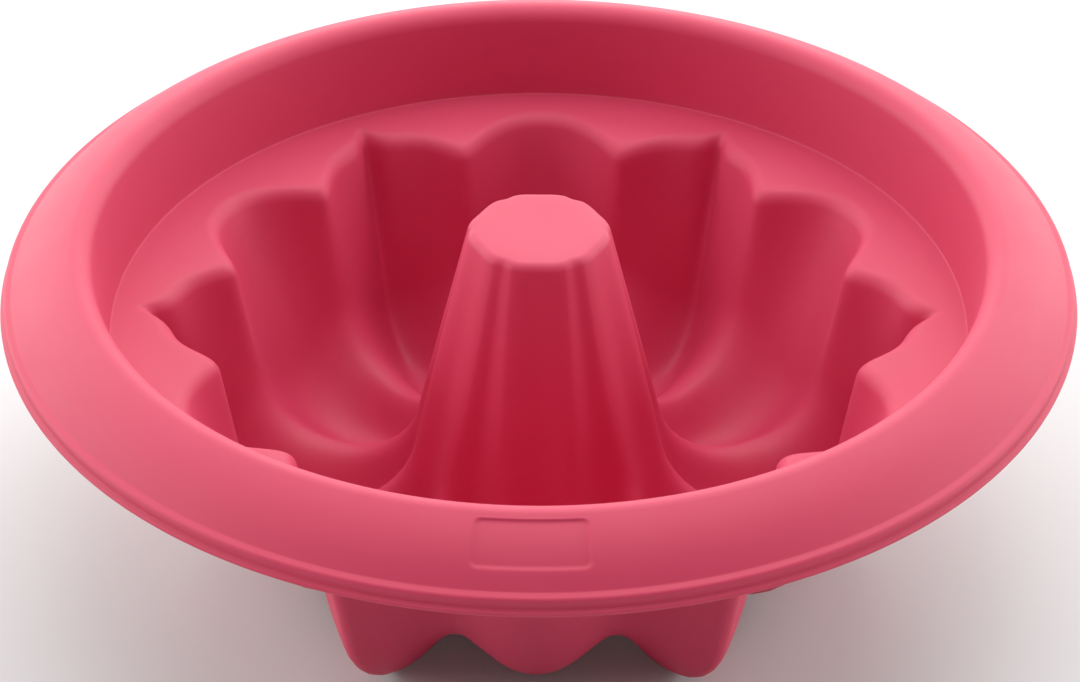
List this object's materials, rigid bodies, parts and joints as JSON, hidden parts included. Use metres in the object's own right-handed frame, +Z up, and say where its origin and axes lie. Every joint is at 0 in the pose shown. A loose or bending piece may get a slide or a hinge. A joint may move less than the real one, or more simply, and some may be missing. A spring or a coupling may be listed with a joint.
{
  "type": "silicone ring cake mould",
  "caption": "Round silicone ring mould for cakes: broad sloping rim, inner shelf, round and pointed flutes by turns, and a tapered closed chimney in the middle.",
  "frame": {"origin": "on the mould's axis, on the plane of the flutes' feet that it stands on", "axes": "+Z up along the axis towards the open mouth, -Y towards the side that faces the picture's camera, +X through the middle of a pointed flute"},
  "size_m": [0.25, 0.25, 0.0857],
  "materials": {
    "silicone": "satin moulded silicone"
  },
  "bodies": {
    "root": {"rim_hem": "silicone", "rim_face": "silicone", "rim_crest": "silicone", "rim_wall": "silicone", "shelf": "silicone", "round_flute_1": "silicone", "round_flute_2": "silicone", "round_flute_3": "silicone", "round_flute_4": "silicone", "round_flute_5": "silicone", "round_flute_6": "silicone", "pointed_flute_1": "silicone", "pointed_flute_2": "silicone", "pointed_flute_3": "silicone", "pointed_flute_4": "silicone", "pointed_flute_5": "silicone", "pointed_flute_6": "silicone", "chimney_foot": "silicone", "chimney_wall": "silicone", "chimney_cap": "silicone"}
  },
  "joints": []
}
